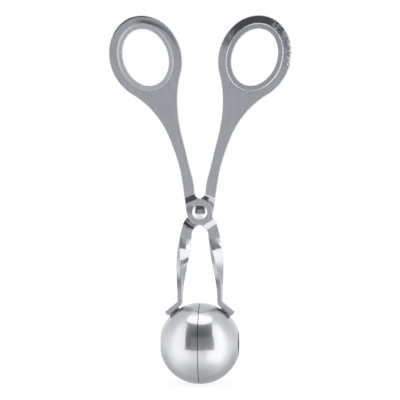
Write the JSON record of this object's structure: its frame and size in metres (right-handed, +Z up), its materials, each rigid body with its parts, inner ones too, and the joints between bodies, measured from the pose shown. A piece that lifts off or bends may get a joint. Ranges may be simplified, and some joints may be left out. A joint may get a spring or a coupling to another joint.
{
  "type": "meatball tongs",
  "caption": "Scissor tongs of bent and twisted steel strip with oval finger loops, carrying two hollow half cups with round vents that close into a ball.",
  "frame": {"origin": "middle of the closed tongs' footprint, at the lowest point of the ball", "axes": "+Z up to the finger loops, +X to the right of someone facing the rivet's head, +Y away from them"},
  "size_m": [0.101, 0.045, 0.204],
  "materials": {
    "satin_steel": "satin, rolled sheet with fine drawn lines",
    "polished_steel": "mirror polish",
    "weld_steel": "as welded, heat tinted"
  },
  "bodies": {
    "front_half": {"front_lever": "satin_steel", "pivot_rivet": "polished_steel", "right_cup": "polished_steel", "right_cup_weld": "weld_steel"},
    "back_half": {"back_lever": "satin_steel", "left_cup": "polished_steel", "left_cup_weld": "weld_steel"}
  },
  "joints": [
    {"name": "rivet_pivot", "type": "hinge", "parent": "front_half", "child": "back_half", "pos_m": [0, 0, 0.0954], "axis": [0, 1, 0], "range_deg": [0, 50]}
  ]
}
